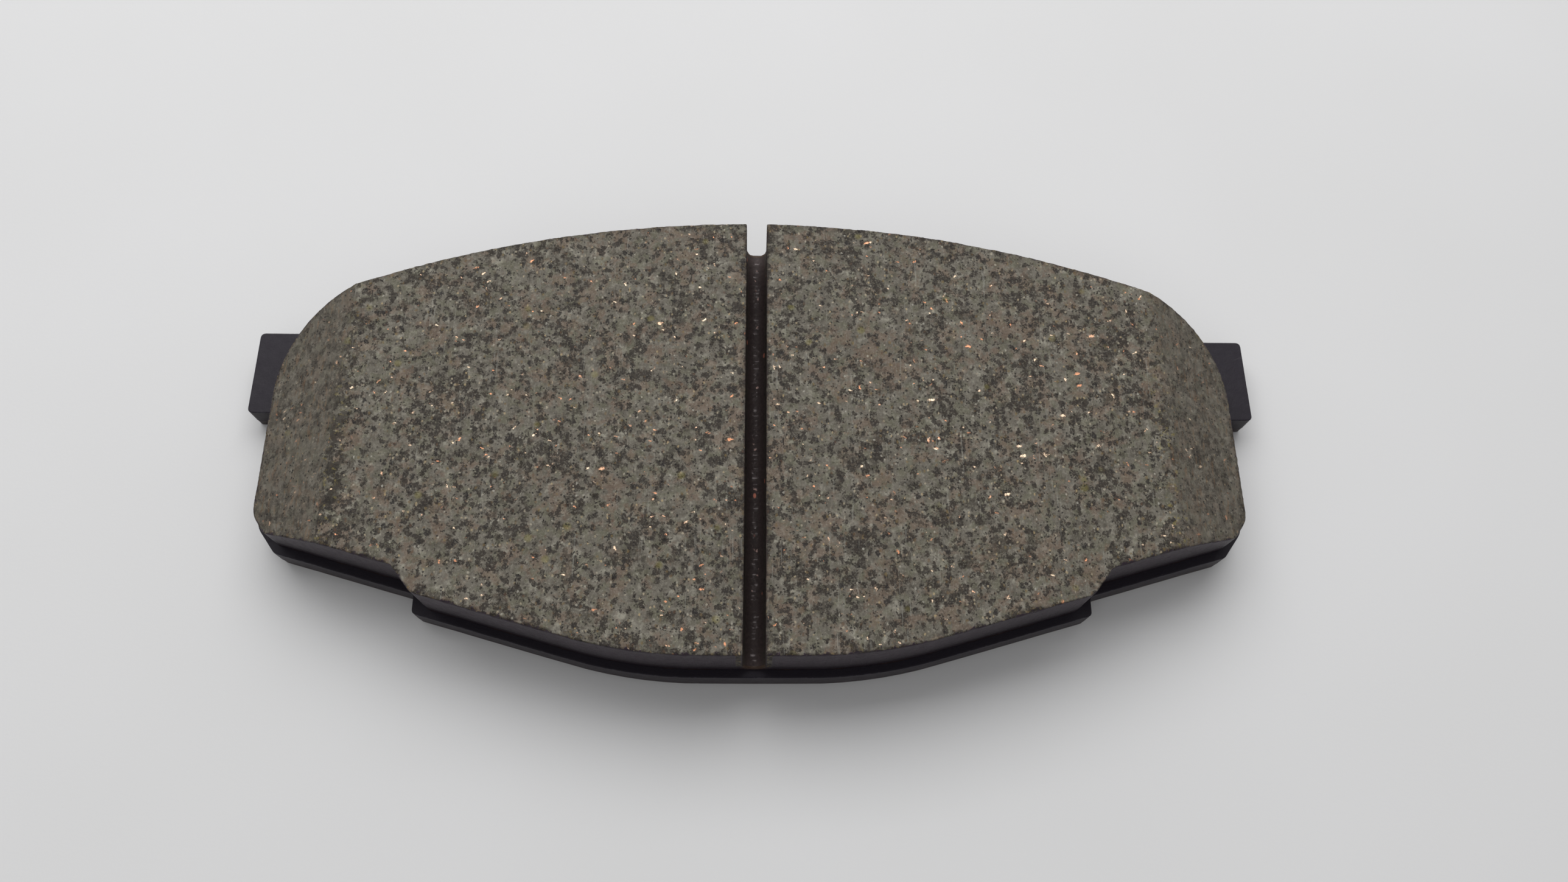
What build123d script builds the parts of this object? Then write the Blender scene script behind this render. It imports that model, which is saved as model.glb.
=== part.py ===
from build123d import *
import os
from math import radians, sqrt, tan

# Disc brake pad: a stamped steel plate with two ears, and on it a moulded lining in two layers.
# Millimetres. The plate lies flat with its back at Z = 0 and the rubbing face up, +X runs between
# the ears, +Y points away from the wheel's axle, and X = 0 is the plane of symmetry.

# ---- Driving dimensions -----------------------------------------------------------------------

plate_thickness = 5.0
plate_crown_y = 34.15           # highest point of the outer arc
plate_flat_y = -34.15           # lower edge between the two sloping edges
plate_side_x = 72.6             # straight end of the plate, below the ear
outer_arc_radius = 166.2
plate_top_corner_radius = 16.0

ear_reach_x = 77.0
ear_height = 13.4
ear_centre_y = 12.5
ear_corner_radius = 0.6
ear_root_radius = 1.2

lower_slope = 16.0              # degrees, shared by both sloping stretches of the lower edge
lower_bend_radius = 70.0        # where the flat turns into the inner slope
step_x = 48.9                   # the lower edge jumps here, between inner and outer slope
step_inner_y = -25.05
step_corner_radius = 0.6
low_corner = (69.6, -16.3)      # lower end of the slanted corner
low_corner_top_y = -12.3
low_corner_radius = 0.6
low_corner_top_radius = 3.0

edge_roll = 0.12                # rounding of the plate's upper edge left by the stamping
break_height = 1.5              # torn zone of the stamped edge, next to the back face
break_inset = 0.05

lining_height = 10.0            # film, underlayer and friction material together
lining_side_x = 71.5
lining_crown_inset = 0.35       # the lining is almost flush with the plate's outer arc
lining_top_corner_radius = 17.0
inner_ledge = 1.15              # strip of plate left bare along the inner slope and the flat
outer_ledge = 1.31              # the same along the outer slope
lining_low_corner = (69.15, -15.1)
lining_low_corner_top_y = -11.9
lining_low_corner_radius = 1.5
shoulder_outer_x = 49.6         # the lining's own, softer version of the plate's step
shoulder_inner_x = 46.65
shoulder_radius = 2.0

film_thickness = 0.2
underlayer_thickness = 2.0

slot_width = 3.0
slot_floor_above_plate = 0.55

chamfer_start_x = 59.7          # the end chamfers begin here on the rubbing face
chamfer_drop = 5.0              # and are this deep at the lining's end

key_radius = 7.0
key_centres = [(-46.0, 1.0), (-17.0, 5.0), (17.0, 5.0), (46.0, 1.0)]
key_recess = 0.3                # the keys stop short of the plate's back

# ---- Levels and derived dimensions ------------------------------------------------------------

slope = tan(radians(lower_slope))
arc_centre_y = plate_crown_y - outer_arc_radius
lining_arc_radius = outer_arc_radius - lining_crown_inset
lining_flat_y = plate_flat_y + inner_ledge

film_top = plate_thickness + film_thickness
underlayer_top = film_top + underlayer_thickness
lining_top = plate_thickness + lining_height
slot_floor = plate_thickness + slot_floor_above_plate

sketch_reach = 2 * ear_reach_x  # longer than the pad, for cutting shapes


# ---- Outlines ---------------------------------------------------------------------------------

def arc_height(radius, x):
    """Y of the outer arc of the given radius at X."""
    return arc_centre_y + sqrt(radius**2 - x**2)


def slope_y(x, anchor):
    """Y at X on the lower slope that passes through the anchor point."""
    return anchor[1] - slope * (anchor[0] - x)


def slope_x(y, anchor):
    """X at Y on the lower slope that passes through the anchor point."""
    return anchor[0] - (anchor[1] - y) / slope


def round_corners(face, corners):
    """Round the outline's corners, each given as (X, Y, radius) and repeated at -X."""
    for x, y, radius in corners:
        for side in (-1, 1):
            corner = Vector(side * x, y)
            nearest = face.vertices().sort_by_distance(corner)[0]
            face = fillet(nearest, radius)
    return face


def arched_face(half_outline, arc_radius):
    """Face of a right-hand half outline, mirrored, and cut off above by the outer arc."""
    right = [(x, y) for x, y in half_outline]
    left = [(-x, y) for x, y in reversed(half_outline)]
    blank = make_face(Polyline(*right, *left, close=True))
    return blank & Pos(0, arc_centre_y) * Circle(arc_radius)


def plate_outline():
    """Outline of the backing plate with its ears, without the key holes."""
    inner = (step_x, step_inner_y)
    bend = (slope_x(plate_flat_y, inner), plate_flat_y)
    step = (step_x, slope_y(step_x, low_corner))
    half = [bend, inner, step, low_corner]
    half += [(plate_side_x, low_corner_top_y), (plate_side_x, plate_crown_y)]
    body = arched_face(half, outer_arc_radius)
    body = round_corners(body, [
        (*bend, lower_bend_radius),
        (*inner, step_corner_radius),
        (*step, step_corner_radius),
        (*low_corner, low_corner_radius),
        (plate_side_x, low_corner_top_y, low_corner_top_radius),
        (plate_side_x, arc_height(outer_arc_radius, plate_side_x), plate_top_corner_radius),
    ])
    ears = Pos(0, ear_centre_y) * Rectangle(2 * ear_reach_x, ear_height)
    upper_y = ear_centre_y + ear_height / 2
    lower_y = ear_centre_y - ear_height / 2
    corner_x = plate_side_x - plate_top_corner_radius
    corner_y = arc_centre_y + sqrt((outer_arc_radius - plate_top_corner_radius)**2 - corner_x**2)
    upper_root_x = corner_x + sqrt(plate_top_corner_radius**2 - (upper_y - corner_y)**2)
    return round_corners(body + ears, [
        (ear_reach_x, upper_y, ear_corner_radius),
        (ear_reach_x, lower_y, ear_corner_radius),
        (plate_side_x, lower_y, ear_root_radius),
        (upper_root_x, upper_y, ear_root_radius),
    ])


def lining_outline():
    """Outline of the lining, which follows the plate with a ledge and a softer step."""
    ledge_drop = sqrt(1 + slope**2)
    on_inner = (step_x, step_inner_y + inner_ledge * ledge_drop)
    on_outer = (low_corner[0], low_corner[1] + outer_ledge * ledge_drop)
    bend = (slope_x(lining_flat_y, on_inner), lining_flat_y)
    inner = (shoulder_inner_x, slope_y(shoulder_inner_x, on_inner))
    outer = (shoulder_outer_x, slope_y(shoulder_outer_x, on_outer))
    half = [bend, inner, outer, lining_low_corner]
    half += [(lining_side_x, lining_low_corner_top_y), (lining_side_x, plate_crown_y)]
    top_corner_y = arc_height(lining_arc_radius, lining_side_x)
    return round_corners(arched_face(half, lining_arc_radius), [
        (*bend, lower_bend_radius),
        (*inner, shoulder_radius),
        (*outer, shoulder_radius),
        (*lining_low_corner, lining_low_corner_radius),
        (lining_side_x, lining_low_corner_top_y, low_corner_top_radius),
        (lining_side_x, top_corner_y, lining_top_corner_radius),
    ])


def slab(face, bottom, top):
    """The face as a solid between two levels."""
    return Pos(0, 0, bottom) * extrude(face, top - bottom)


def key_cylinders(bottom, top):
    """The four round keys as solids between two levels."""
    height = top - bottom
    return [Pos(x, y, bottom + height / 2) * Cylinder(key_radius, height) for x, y in key_centres]


# ---- Sub-parts --------------------------------------------------------------------------------

def make_backing_plate():
    """Stamped steel plate: rolled upper edge, torn lower edge, four holes for the keys."""
    plate = slab(plate_outline(), 0, plate_thickness)
    plate = fillet(plate.edges().group_by(Axis.Z)[-1], edge_roll)
    back = plate.faces().sort_by(Axis.Z)[0]
    plate = chamfer(back.edges(), break_inset, break_height, reference=back)
    return plate - key_cylinders(0, plate_thickness)


def make_adhesive_film():
    """Thin cured adhesive between the plate and the moulding, open where the keys pass."""
    film = slab(lining_outline(), plate_thickness, film_top)
    return film - key_cylinders(plate_thickness, film_top)


def slot_cutter():
    """Round-bottomed slot along Y, open at both ends and upwards."""
    radius = slot_width / 2
    trench = Pos(0, 0, slot_floor + radius) * Box(
        slot_width, sketch_reach, 2 * lining_height, align=(Align.CENTER, Align.CENTER, Align.MIN)
    )
    floor = Pos(0, 0, slot_floor + radius) * Rot(90, 0, 0) * Cylinder(radius, sketch_reach)
    return trench + floor


def make_underlayer():
    """Insulating layer moulded onto the plate, with keys that fill the plate's holes."""
    layer = slab(lining_outline(), film_top, underlayer_top) - slot_cutter()
    return layer + key_cylinders(key_recess, film_top)


def end_chamfer_cutter(side):
    """Wedge above the sloping end of the rubbing face, on the side given as -1 or 1."""
    run = lining_side_x - chamfer_start_x
    reach_x = chamfer_start_x + 2 * run
    reach_z = lining_top - 2 * chamfer_drop
    profile = Plane.XZ * make_face(Polyline(
        (side * chamfer_start_x, lining_top),
        (side * reach_x, reach_z),
        (side * reach_x, lining_top),
        close=True,
    ))
    return extrude(profile, sketch_reach / 2, both=True)


def make_friction_block(side):
    """Friction material on one side of the slot, with its end chamfer."""
    block = slab(lining_outline(), underlayer_top, lining_top)
    block = block - slot_cutter() - end_chamfer_cutter(side)
    return block.solids().sort_by(Axis.X)[0 if side < 0 else -1]


def main():
    parts = {
        "backing_plate": make_backing_plate(),
        "adhesive_film": make_adhesive_film(),
        "underlayer": make_underlayer(),
        "friction_block_left": make_friction_block(-1),
        "friction_block_right": make_friction_block(1),
    }
    os.makedirs("parts", exist_ok=True)
    for name, solid in parts.items():
        export_step(solid, f"parts/{name}.step")


main()
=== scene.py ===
from math import cos, pi, radians, sin

import bpy
import numpy as np
from mathutils import Matrix, Vector
from mathutils.geometry import delaunay_2d_cdt
from mathutils.kdtree import KDTree


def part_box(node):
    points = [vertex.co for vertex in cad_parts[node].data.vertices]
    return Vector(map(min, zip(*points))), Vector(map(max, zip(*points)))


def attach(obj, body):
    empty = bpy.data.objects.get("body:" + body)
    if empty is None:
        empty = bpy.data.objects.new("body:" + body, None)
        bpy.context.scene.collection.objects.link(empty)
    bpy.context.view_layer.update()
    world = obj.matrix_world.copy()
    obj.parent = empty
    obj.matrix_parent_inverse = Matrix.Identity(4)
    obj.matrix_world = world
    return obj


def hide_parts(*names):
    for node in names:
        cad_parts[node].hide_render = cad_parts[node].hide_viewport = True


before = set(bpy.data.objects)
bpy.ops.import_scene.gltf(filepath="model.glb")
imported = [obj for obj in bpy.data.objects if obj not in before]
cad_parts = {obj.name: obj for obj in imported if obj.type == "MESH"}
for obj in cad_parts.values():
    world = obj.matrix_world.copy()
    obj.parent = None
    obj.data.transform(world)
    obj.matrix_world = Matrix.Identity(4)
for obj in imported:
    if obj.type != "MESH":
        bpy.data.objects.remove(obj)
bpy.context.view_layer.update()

# Lengths are millimetres unless a comment says metres, in the frame's own axes: +X from ear to ear,
# +Y towards the outer arc, +Z from the plate's back to the rubbing face. finish_piece() and
# make_camera() turn them into metres.

MM = 0.001

# ---- Sizes read from the frame ----


def node_box(name):
    """Lowest and highest corner of a CAD node, in millimetres."""
    low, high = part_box(name)
    return np.array(low) / MM, np.array(high) / MM


def node_points(name):
    """Points of a CAD node's mesh, in millimetres."""
    return np.array([v.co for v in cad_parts[name].data.vertices]) / MM


plate_low, plate_high = node_box("backing_plate")
film_low, film_high = node_box("adhesive_film")
layer_low, layer_high = node_box("underlayer")
block_low, block_high = node_box("friction_block_right")

PLATE_TOP = plate_high[2]
FILM_TOP = film_high[2]
LAYER_TOP = layer_high[2]
LINING_TOP = block_high[2]
LINING_END = block_high[0]
SLOT_HALF = block_low[0]
KEY_BOTTOM = layer_low[2]

# ---- Sizes of the details that only the visual model has ----

PITCH = 0.26              # spacing of points along outlines and over the rubbing face
COARSE = 1.6              # spacing over faces that other pieces cover
CLEARANCE = 0.5 * COARSE  # least gap from such a face's grid to its edges
PLATE_CLEARANCE = 0.6     # the same gap on the plate
LEVEL = 1e-3              # two heights closer than this are the same level

CORNER_BLUR = 0.2         # smoothing of the outlines that keeps their corners
FACET_BLUR = 3.0          # smoothing that takes away the facets of large arcs
FACET_SIZE = 0.05         # what this smoothing would move further is a corner, not a facet
BLEND_BLUR = 0.8          # smoothing of what changes from corner to arc

CHIP_COUNT = 300          # chips along the upper edge of one block
UPPER_CHIPS = 0.22        # their size on the upper side, as a share of the lower side's
SLOT_CHIPS = 0.35         # the same beside the slot
END_CHIPS = 0.6           # a further share at the ends
PORES_PER_AREA = 0.16     # pores torn out of the ground face, per square millimetre
PORE_RADIUS = 0.28        # radius of the smallest pores
PORE_SPREAD = 0.5         # how much larger the radius of the largest is
RIM_REACH = 1.3           # how far the crumbled rim reaches in from the lower edges
RAW_STRIP = 0.9           # unpainted strip of the side walls beside the slot
CUTTER_STEP = 0.78        # spacing of the cutter's marks along the slot
KEY_PLAY = 0.02           # how much the keys are smaller in radius than their holes

ROLL = 0.12               # rounded upper edge of the plate
BREAK_INSET = 0.05        # how far the torn zone of the plate's edge stands back
BREAK_HEIGHT = 1.5        # mean height of the torn zone
HOLE_PROFILE = (          # how far a hole's wall stands off the CAD hole, and height
    (0.30, PLATE_TOP), (0.0, PLATE_TOP), (0.0, 1.6), (0.03, 0.9), (0.05, 0.25), (0.14, 0.06), (0.3, 0.0),
)


# ---- Noise ----

def smooth(t):
    """Smoothstep from 0 to 1."""
    t = np.clip(t, 0.0, 1.0)
    return t * t * (3.0 - 2.0 * t)


def field(x, y, size, seed):
    """Smooth random values from -1 to 1 over the plane, with bumps of the given size."""
    table = np.random.default_rng(seed).uniform(-1.0, 1.0, (128, 128))
    u = np.asarray(x) / size + 4096.0
    v = np.asarray(y) / size + 4096.0
    i = np.floor(u).astype(int)
    j = np.floor(v).astype(int)
    fu = smooth(u - i)
    fv = smooth(v - j)
    near = table[i % 128, j % 128] * (1 - fu) + table[(i + 1) % 128, j % 128] * fu
    far = table[i % 128, (j + 1) % 128] * (1 - fu) + table[(i + 1) % 128, (j + 1) % 128] * fu
    return near * (1 - fv) + far * fv


def along(s, length, size, seed):
    """Smooth random values from -1 to 1 along a closed line of the given length."""
    count = max(4, round(length / size))
    values = np.random.default_rng(seed).uniform(-1.0, 1.0, count)
    u = s / length * count
    i = np.floor(u).astype(int)
    f = smooth(u - i)
    return values[i % count] * (1 - f) + values[(i + 1) % count] * f


# ---- Outlines ----

def level_loop(node, level):
    """The longest closed loop of a CAD node's edges at one height, as an N x 2 array."""
    points = node_points(node)
    keys = [tuple(p) for p in np.round(points, 3)]
    at_level = abs(points[:, 2] - level) < LEVEL
    flat_faces = {}
    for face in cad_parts[node].data.polygons:
        flat = all(at_level[i] for i in face.vertices)
        for a, b in face.edge_keys:
            if at_level[a] and at_level[b]:
                edge = frozenset((keys[a], keys[b]))
                flat_faces.setdefault(edge, []).append(flat)
    links = {}
    for edge, flats in flat_faces.items():
        if len(edge) == 2 and not all(flats):
            a, b = edge
            links.setdefault(a, []).append(b)
            links.setdefault(b, []).append(a)
    loops = []
    while links:
        start = next(iter(links))
        loop = [start]
        while loop[-1] in links:
            onward = [p for p in links.pop(loop[-1]) if p in links]
            if not onward:
                break
            loop.append(onward[0])
        loops.append(np.array(loop)[:, :2])
    return max(loops, key=path_length)


def path_length(loop):
    """Length of a closed loop."""
    return np.linalg.norm(np.roll(loop, -1, 0) - loop, axis=1).sum()


def signed_area(loop):
    """Area of a closed loop, positive if it runs anticlockwise."""
    x, y = loop[:, 0], loop[:, 1]
    return 0.5 * (x * np.roll(y, -1) - y * np.roll(x, -1)).sum()


def blurred(values, sigma):
    """A closed line's values, averaged along it with a bell of the given width."""
    reach = int(4 * sigma / PITCH) + 1
    weights = np.exp(-0.5 * (np.arange(-reach, reach + 1) * PITCH / sigma) ** 2)
    weights /= weights.sum()
    return sum(w * np.roll(values, k, 0) for w, k in zip(weights, range(-reach, reach + 1)))


def resampled(loop):
    """The loop, anticlockwise, with evenly spaced points."""
    if signed_area(loop) < 0:
        loop = loop[::-1]
    closed = np.vstack([loop, loop[:1]])
    s = np.concatenate([[0.0], np.cumsum(np.linalg.norm(np.diff(closed, axis=0), axis=1))])
    at = np.linspace(0.0, s[-1], round(s[-1] / PITCH), endpoint=False)
    return np.column_stack([np.interp(at, s, closed[:, k]) for k in (0, 1)])


def fair(loop):
    """Evenly spaced points with the facets of large arcs smoothed away and the corners kept."""
    points = resampled(loop)
    crisp = blurred(points, CORNER_BLUR)
    soft = blurred(points, FACET_BLUR)
    moved = np.linalg.norm(soft - points, axis=1)[:, None]
    gentle = blurred(smooth((FACET_SIZE - moved) / (0.5 * FACET_SIZE)), BLEND_BLUR)
    return crisp + (soft - crisp) * gentle


def normals(points):
    """Unit vectors that point out of an anticlockwise loop."""
    ahead = np.roll(points, -1, 0) - np.roll(points, 1, 0)
    ahead /= np.linalg.norm(ahead, axis=1)[:, None]
    return np.column_stack([ahead[:, 1], -ahead[:, 0]])


def run(points):
    """Distance along a loop at each of its points, and the loop's length."""
    steps = np.linalg.norm(np.roll(points, -1, 0) - points, axis=1)
    return np.concatenate([[0.0], np.cumsum(steps)[:-1]]), steps.sum()


def traced(node, level):
    """A node's outline at one height, its normals, the distance along it, and its length."""
    outline = fair(level_loop(node, level))
    return outline, normals(outline), *run(outline)


def eased(values, slope):
    """Values along a loop, lowered where they would rise or fall faster than slope."""
    values = values.copy()
    for order in (1, -1) * 2:
        previous = values[-order]
        for i in range(len(values))[::order]:
            values[i] = previous = min(values[i], previous + slope * PITCH)
    return values


def room(points):
    """How far each point of a loop can move inwards before its corners cross."""
    ahead = np.roll(points, -1, 0) - points
    heading = np.arctan2(ahead[:, 1], ahead[:, 0])
    turn = np.angle(np.exp(1j * (heading - np.roll(heading, 1))))
    step = np.linalg.norm(ahead, axis=1)
    radius = np.minimum(step, np.roll(step, 1)) / np.maximum(turn, 1e-3)
    return eased(0.55 * radius, 0.5)


# ---- Meshes ----

def inside(points, outlines):
    """Which points lie inside the first outline and outside the others."""
    odd = np.zeros(len(points), bool)
    for loop in outlines:
        ax, ay = loop[:, 0], loop[:, 1]
        bx, by = np.roll(ax, -1), np.roll(ay, -1)
        rise = np.where(by == ay, 1.0, by - ay)
        for start in range(0, len(points), 2000):
            x = points[start:start + 2000, 0:1]
            y = points[start:start + 2000, 1:2]
            spans = (ay > y) != (by > y)
            crossing = ax + (y - ay) / rise * (bx - ax)
            odd[start:start + 2000] ^= (spans & (x < crossing)).sum(1) % 2 == 1
    return odd


def distance(points, outlines):
    """Distance from each point to the nearest outline, measured to its points and midpoints."""
    cloud = np.vstack([half for loop in outlines for half in (loop, (loop + np.roll(loop, 1, 0)) / 2)])
    tree = KDTree(len(cloud))
    for i, (x, y) in enumerate(cloud):
        tree.insert((x, y, 0.0), i)
    tree.balance()
    return np.array([tree.find((x, y, 0.0))[2] for x, y in points])


class Shell:
    """Points and faces of one closed piece, gathered ring by ring inside an outline. Each point
    carries the strengths of its surface masks, such as paint or rim."""

    def __init__(self, outline, out, *masks):
        self.outline = outline
        self.out = out
        self.points = []
        self.faces = []
        self.masks = {name: [] for name in masks}

    def add(self, x, y, z, **strengths):
        """Adds points and returns their numbers."""
        first = len(self.points)
        xyz = np.column_stack(np.broadcast_arrays(x, y, z)).astype(float)
        self.points.extend(xyz.tolist())
        for name, values in self.masks.items():
            values.extend(np.broadcast_to(strengths.get(name, 0.0), len(xyz)).tolist())
        return np.arange(first, len(self.points))

    def ring(self, inset, z, **strengths):
        """Adds the outline's points, moved inwards by inset, at height z."""
        x = self.outline[:, 0] - self.out[:, 0] * inset
        y = self.outline[:, 1] - self.out[:, 1] * inset
        return self.add(x, y, z, **strengths)

    def band(self, lower, upper):
        """Quads between two rings of the same count, facing outwards when anticlockwise."""
        ahead = (np.roll(lower, -1), np.roll(upper, -1))
        self.faces.extend(np.column_stack([lower, ahead[0], ahead[1], upper]).tolist())

    def wall(self, rings):
        """Quads from each ring to the next."""
        for lower, upper in zip(rings, rings[1:]):
            self.band(lower, upper)

    def fill(self, rings, xs, ys, shape, clearance, upward=True):
        """Closes the first ring, less the others, with a grid of quads joined to the rings by a
        strip of triangles. shape(x, y) gives the grid points' heights and masks."""
        outlines = [np.array([self.points[i][:2] for i in ring]) for ring in rings]
        gx, gy = np.meshgrid(xs, ys, indexing="ij")
        nodes = np.column_stack([gx.ravel(), gy.ravel()])
        keep = inside(nodes, outlines)
        keep[keep] = distance(nodes[keep], outlines) > clearance
        keep = keep.reshape(gx.shape)
        cells = keep[:-1, :-1] & keep[1:, :-1] & keep[:-1, 1:] & keep[1:, 1:]
        padded = np.pad(cells, 1)
        used = padded[:-1, :-1] | padded[1:, :-1] | padded[:-1, 1:] | padded[1:, 1:]
        number = np.full(gx.shape, -1)
        height, strengths = shape(gx[used], gy[used])
        number[used] = self.add(gx[used], gy[used], height, **strengths)
        quads = np.stack([number[:-1, :-1], number[1:, :-1], number[1:, 1:], number[:-1, 1:]], -1)
        quads = quads[cells]
        self.faces.extend((quads if upward else quads[:, ::-1]).tolist())
        across = padded[1:-1, :-1] != padded[1:-1, 1:]
        along_y = padded[:-1, 1:-1] != padded[1:, 1:-1]
        edges = [np.column_stack([number[:-1][across], number[1:][across]])]
        edges.append(np.column_stack([number[:, :-1][along_y], number[:, 1:][along_y]]))
        edges += [np.column_stack([ring, np.roll(ring, -1)]) for ring in rings]
        self.stitch(np.vstack(edges), outlines, (xs, ys, cells), upward)

    def stitch(self, edges, outlines, grid, upward):
        """Triangles between the fixed edges, inside the outlines and off the grid's cells."""
        numbers, where = np.unique(edges, return_inverse=True)
        flat = [Vector(self.points[i][:2]) for i in numbers]
        pairs = where.reshape(-1, 2).tolist()
        _, _, faces, originals, _, _ = delaunay_2d_cdt(flat, pairs, [], 0, 1e-7, True)
        corners = np.array([[originals[i][0] for i in face] for face in faces])
        flat = np.array([v[:] for v in flat])
        centres = flat[corners].mean(1)
        keep = inside(centres, outlines)
        xs, ys, cells = grid
        i = np.clip(np.searchsorted(xs, centres[:, 0]) - 1, 0, len(xs) - 2)
        j = np.clip(np.searchsorted(ys, centres[:, 1]) - 1, 0, len(ys) - 2)
        within = (centres[:, 0] > xs[0]) & (centres[:, 0] < xs[-1])
        within &= (centres[:, 1] > ys[0]) & (centres[:, 1] < ys[-1])
        keep &= ~(within & cells[i, j])
        triangles = numbers[corners[keep]]
        self.faces.extend((triangles if upward else triangles[:, ::-1]).tolist())


def finish_piece(name, shell, material, node):
    """Makes the Blender object of a shell, which stands for the given CAD node."""
    mesh = bpy.data.meshes.new(name)
    mesh.from_pydata((np.array(shell.points) * MM).tolist(), [], shell.faces)
    for mask, values in shell.masks.items():
        mesh.attributes.new(mask, "FLOAT", "POINT").data.foreach_set("value", values)
    mesh.polygons.foreach_set("use_smooth", [True] * len(mesh.polygons))
    mesh.validate()
    mesh.update()
    mesh.materials.append(material)
    piece = bpy.data.objects.new(name, mesh)
    bpy.context.scene.collection.objects.link(piece)
    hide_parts(node)
    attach(piece, "root")


def grid_lines(low, high, pitch, through=0.0):
    """Evenly spaced values that cover low to high and pass exactly through a given one."""
    first = np.floor((low - through) / pitch)
    last = np.ceil((high - through) / pitch)
    return through + np.arange(first, last + 1) * pitch


def coarse_lines(low, high):
    """Grid lines in X and in Y for a face that other pieces cover."""
    return [grid_lines(low[k], high[k], COARSE) for k in (0, 1)]


def level_face(height):
    """Shape of a level face without masks."""
    return lambda x, y: (height, {})


# ---- Lining ----

def chamfer_line():
    """X where the end chamfer leaves the rubbing face, and its drop per millimetre of X."""
    points = node_points("friction_block_right")
    start = points[abs(points[:, 2] - LINING_TOP) < LEVEL, 0].max()
    end_height = points[points[:, 2] > LAYER_TOP + LEVEL, 2].min()
    return start, (LINING_TOP - end_height) / (LINING_END - start)


CHAMFER_X, CHAMFER_SLOPE = chamfer_line()


def lining_height(x):
    """Height of the ground face: level, then sloping down to both ends."""
    return LINING_TOP - np.maximum(abs(x) - CHAMFER_X, 0.0) * CHAMFER_SLOPE


def draw_marks(s, length, height, seed):
    """Shallow upright furrows that the mould leaves in the lining's sides."""
    fine = along(s, length, 0.5, seed) * 0.012
    broad = along(s, length, 2.6, seed + 1) * 0.008
    return fine + broad + 0.008 * field(s, height, 1.3, seed + 2) - 0.03


def chips(points, out, s, length, seed):
    """Inward and downward size of the chips along a block's upper edge: largest on the lower
    side, smaller at the ends, beside the slot and on the upper side, and kept off the corners."""
    rng = np.random.default_rng(seed)
    straight = np.linalg.norm(blurred(out, BLEND_BLUR), axis=1)
    guard = 0.25 + 0.75 * smooth((straight - 0.86) / 0.1)
    inward = np.zeros(len(s))
    downward = np.zeros(len(s))
    for _ in range(CHIP_COUNT):
        centre = rng.integers(len(s))
        size = rng.random() ** 2.2
        exposed = 1.0 if out[centre, 1] < -0.5 else UPPER_CHIPS
        if abs(points[centre, 0]) < SLOT_HALF + LEVEL:
            exposed = SLOT_CHIPS
        if abs(points[centre, 0]) > CHAMFER_X:
            exposed *= END_CHIPS
        exposed *= guard[centre]
        half = 0.2 + 0.9 * size
        gap = abs(s - s[centre])
        gap = np.minimum(gap, length - gap)
        hollow = np.clip(1 - (gap / half) ** 2, 0, 1) ** 0.7
        inward = np.maximum(inward, (0.06 + 0.45 * size) * exposed * hollow)
        downward = np.maximum(downward, (0.08 + 0.42 * rng.random() * size) * exposed * hollow)
    return inward, downward


def pits(rng, low, high):
    """Centres, radii and depths of the pores torn out of the ground face."""
    count = int((high[0] - low[0]) * (high[1] - low[1]) * PORES_PER_AREA)
    x = rng.uniform(low[0], high[0], count)
    y = rng.uniform(low[1], high[1], count)
    radius = PORE_RADIUS + PORE_SPREAD * rng.random(count) ** 3
    depth = radius * rng.uniform(0.12, 0.4, count)
    return x, y, radius, depth


def pit_depth(x, y, holes):
    """Depth below the ground face at each point, from a list of pits."""
    tree = KDTree(len(x))
    for i, (px, py) in enumerate(zip(x, y)):
        tree.insert((px, py, 0.0), i)
    tree.balance()
    depth = np.zeros(len(x))
    for cx, cy, radius, deep in zip(*holes):
        for _, i, gap in tree.find_range((cx, cy, 0.0), radius):
            depth[i] = max(depth[i], deep * (1 - (gap / radius) ** 2))
    return depth


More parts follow.
